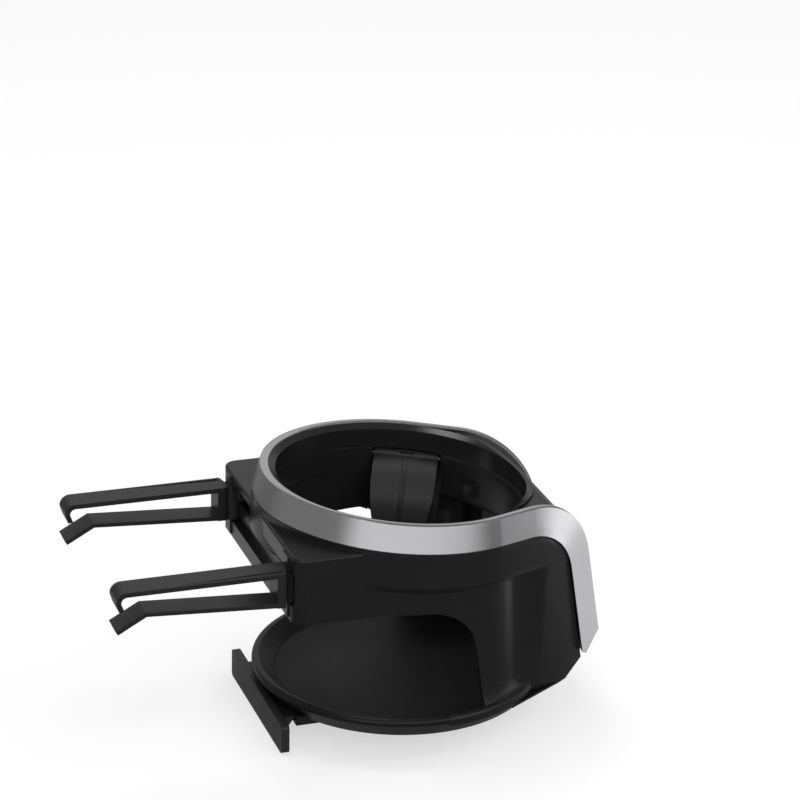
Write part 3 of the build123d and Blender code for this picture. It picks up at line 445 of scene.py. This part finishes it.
def towards(azimuth, elevation):
    """The unit vector towards an azimuth and elevation; azimuth 0 is on the -Y side."""
    a = math.radians(azimuth)
    e = math.radians(elevation)
    return Vector((math.sin(a) * math.cos(e), -math.cos(a) * math.cos(e), math.sin(e)))


def build_floor():
    """A white floor that keeps the object's shadow."""
    bpy.ops.mesh.primitive_plane_add(size=FLOOR_SIZE, location=(0, 0, CAD_BOX[0].z - FLOOR_GAP))
    floor = bpy.context.object
    floor.name = "floor"
    material, tree = new_material("white_floor")
    lit = add(tree, "ShaderNodeBsdfPrincipled", {
        "Base Color": linear(FLOOR_COLOUR), "Roughness": FLOOR_ROUGHNESS})
    white = add(tree, "ShaderNodeEmission", {"Color": linear(BACKGROUND), "Strength": 1.0})
    seen = add(tree, "ShaderNodeLightPath").outputs["Is Camera Ray"]
    share = add(tree, "ShaderNodeMath", {0: seen, 1: FLOOR_GLOW}, operation="MULTIPLY")
    mix = add(tree, "ShaderNodeMixShader", {0: share, 1: lit, 2: white})
    add(tree, "ShaderNodeOutputMaterial", {"Surface": mix})
    floor.data.materials.append(material)


def build_world():
    """A background that is plain white where it is seen or reflected, and a soft light to the rest."""
    world = bpy.data.worlds.new("studio")
    bpy.context.scene.world = world
    world.use_nodes = True
    tree = world.node_tree
    tree.nodes.clear()
    ray = add(tree, "ShaderNodeLightPath").outputs
    seen = add(tree, "ShaderNodeMath", {
        0: ray["Is Camera Ray"], 1: ray["Is Transmission Ray"]}, operation="MAXIMUM")
    seen = add(tree, "ShaderNodeMath", {0: seen, 1: ray["Is Glossy Ray"]}, operation="MAXIMUM")
    strength = add(tree, "ShaderNodeMapRange", {"Value": seen, "To Min": WORLD_LIGHT, "To Max": 1.0})
    background = add(tree, "ShaderNodeBackground", {"Color": linear(BACKGROUND), "Strength": strength})
    add(tree, "ShaderNodeOutputWorld", {"Surface": background})


def soft_box(distance, half, edge):
    """1 within a half width, 0 outside it, with a soft edge between."""
    t = min(1.0, max(0.0, (half + edge / 2 - abs(distance)) / edge))
    return t * t * (3 - 2 * t)


def dome_light(azimuth, elevation):
    """The glow of the dome at an azimuth and elevation, with its panels of painted soft-box light."""
    light = DOME_LIGHT
    for middle, height, half_w, half_h, edge, extra in PANELS:
        aside = (azimuth - middle + 180) % 360 - 180
        light += extra * soft_box(aside, half_w, edge) * soft_box(elevation - height, half_h, edge)
    return light


def sheet_light(x, y):
    """The glow of the sheet on the floor at a place, with its cards of painted floor light."""
    light = SHEET_LIGHT
    for middle, turn, half_w, half_l, edge, extra in CARDS:
        away = Matrix.Rotation(math.radians(-turn), 2) @ Vector((x - middle[0], y - middle[1]))
        light += extra * soft_box(away.x, half_w, edge) * soft_box(away.y, half_l, edge)
    return light


def glowing_reflection_sheet(name, columns, rows, place, light):
    """A sheet over a grid that glows with a grey painted at each point, seen only in reflections."""
    mesh = bmesh.new()
    glow = mesh.verts.layers.float.new("glow")
    grid = []
    for a in columns:
        line = []
        for b in rows:
            spot = mesh.verts.new(place(a, b))
            spot[glow] = light(a, b)
            line.append(spot)
        grid.append(line)
    for i in range(len(columns) - 1):
        for j in range(len(rows) - 1):
            mesh.faces.new((grid[i][j], grid[i + 1][j], grid[i + 1][j + 1], grid[i][j + 1]))
    data = bpy.data.meshes.new(name)
    mesh.to_mesh(data)
    mesh.free()
    glowing_sheet = bpy.data.objects.new(name, data)
    bpy.context.scene.collection.objects.link(glowing_sheet)
    material, tree = new_material(name)
    grey = add(tree, "ShaderNodeAttribute", attribute_name="glow").outputs["Fac"]
    # This surface glows with its painted grey; no lamp lights it
    lit = add(tree, "ShaderNodeEmission", {"Color": linear(BACKGROUND), "Strength": grey})
    add(tree, "ShaderNodeOutputMaterial", {"Surface": lit})
    data.materials.append(material)
    glowing_sheet.visible_camera = False
    glowing_sheet.visible_diffuse = False
    glowing_sheet.visible_transmission = False
    glowing_sheet.visible_shadow = False


def build_painted_reflections():
    """Painted reflections: glowing greys in place of a studio's flags and soft boxes."""
    middle = (CAD_BOX[0] + CAD_BOX[1]) / 2
    ground = CAD_BOX[0].z - FLOOR_GAP / 2
    middle.z = ground

    def on_dome(azimuth, elevation):
        return middle + towards(azimuth, elevation) * DOME_R

    def on_floor(x, y):
        return Vector((x, y, ground))

    glowing_reflection_sheet("painted_reflection_dome", range(0, 361, DOME_STEP), range(0, 91, DOME_STEP), on_dome, dome_light)
    steps = round(SHEET_HALF / SHEET_STEP)
    lines = [n * SHEET_STEP for n in range(-steps, steps + 1)]
    glowing_reflection_sheet("painted_reflection_floor", lines, lines, on_floor, sheet_light)


def build_lamps():
    """Soft boxes round the object, all facing its middle."""
    middle = (CAD_BOX[0] + CAD_BOX[1]) / 2
    for name, azimuth, elevation, distance, width, height, watts in LAMPS:
        lamp = bpy.data.lights.new(name, "AREA")
        lamp.shape = "RECTANGLE"
        lamp.size = width
        lamp.size_y = height
        lamp.energy = watts
        holder = bpy.data.objects.new(name, lamp)
        holder.visible_camera = False
        holder.visible_glossy = False
        bpy.context.scene.collection.objects.link(holder)
        away = towards(azimuth, elevation)
        holder.location = middle + away * distance
        holder.rotation_mode = "QUATERNION"
        holder.rotation_quaternion = (-away).to_track_quat("-Z", "Y")


def build_camera():
    """The camera at the photograph's viewing angle."""
    data = bpy.data.cameras.new("camera")
    data.sensor_width = SENSOR
    data.lens = CAMERA_LENS
    camera = bpy.data.objects.new("camera", data)
    bpy.context.scene.collection.objects.link(camera)
    away = towards(CAMERA_AZIMUTH, CAMERA_ELEVATION)
    turn = (-away).to_track_quat("-Z", "Y").to_matrix().to_4x4()
    roll = Matrix.Rotation(math.radians(CAMERA_ROLL), 4, "Z")
    camera.matrix_world = Matrix.Translation(CAMERA_PLACE) @ turn @ roll
    bpy.context.scene.camera = camera


bpy.context.scene.view_settings.view_transform = "Standard"
build_ribbon_edges(finish_nodes())
build_floor()
build_world()
build_painted_reflections()
build_lamps()
build_camera()
